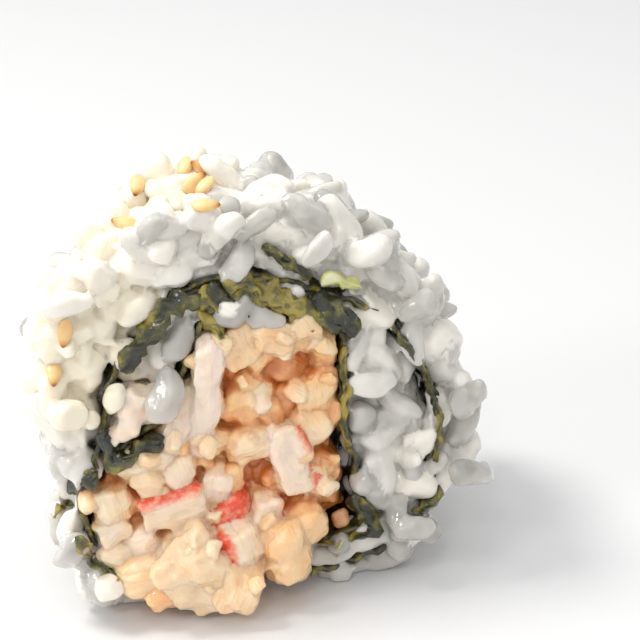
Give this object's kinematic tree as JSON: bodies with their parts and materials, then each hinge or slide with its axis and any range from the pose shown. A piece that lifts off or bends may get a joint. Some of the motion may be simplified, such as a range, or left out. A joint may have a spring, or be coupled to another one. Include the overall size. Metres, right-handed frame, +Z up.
{
  "type": "crab roll slice",
  "caption": "Upright slice of an inside-out sushi roll: a coat of cooked rice grains with sesame, a spiral of nori and a dressed crab filling spilling from the cut.",
  "frame": {"origin": "on the flat base, under the middle of the slice", "axes": "+Z up, the cut face that shows looks along -Y, the roll's own axis along Y, +X to the right of that face"},
  "size_m": [0.0501, 0.0327, 0.0471],
  "materials": {
    "rice": "moist translucent cooked rice",
    "nori": "wet dark green seaweed sheet",
    "crab": "moist crab in a pale orange dressing"
  },
  "bodies": {
    "root": {"rice": "rice", "nori": "nori", "crab_filling": "crab", "crab_pocket": "crab"}
  },
  "joints": []
}
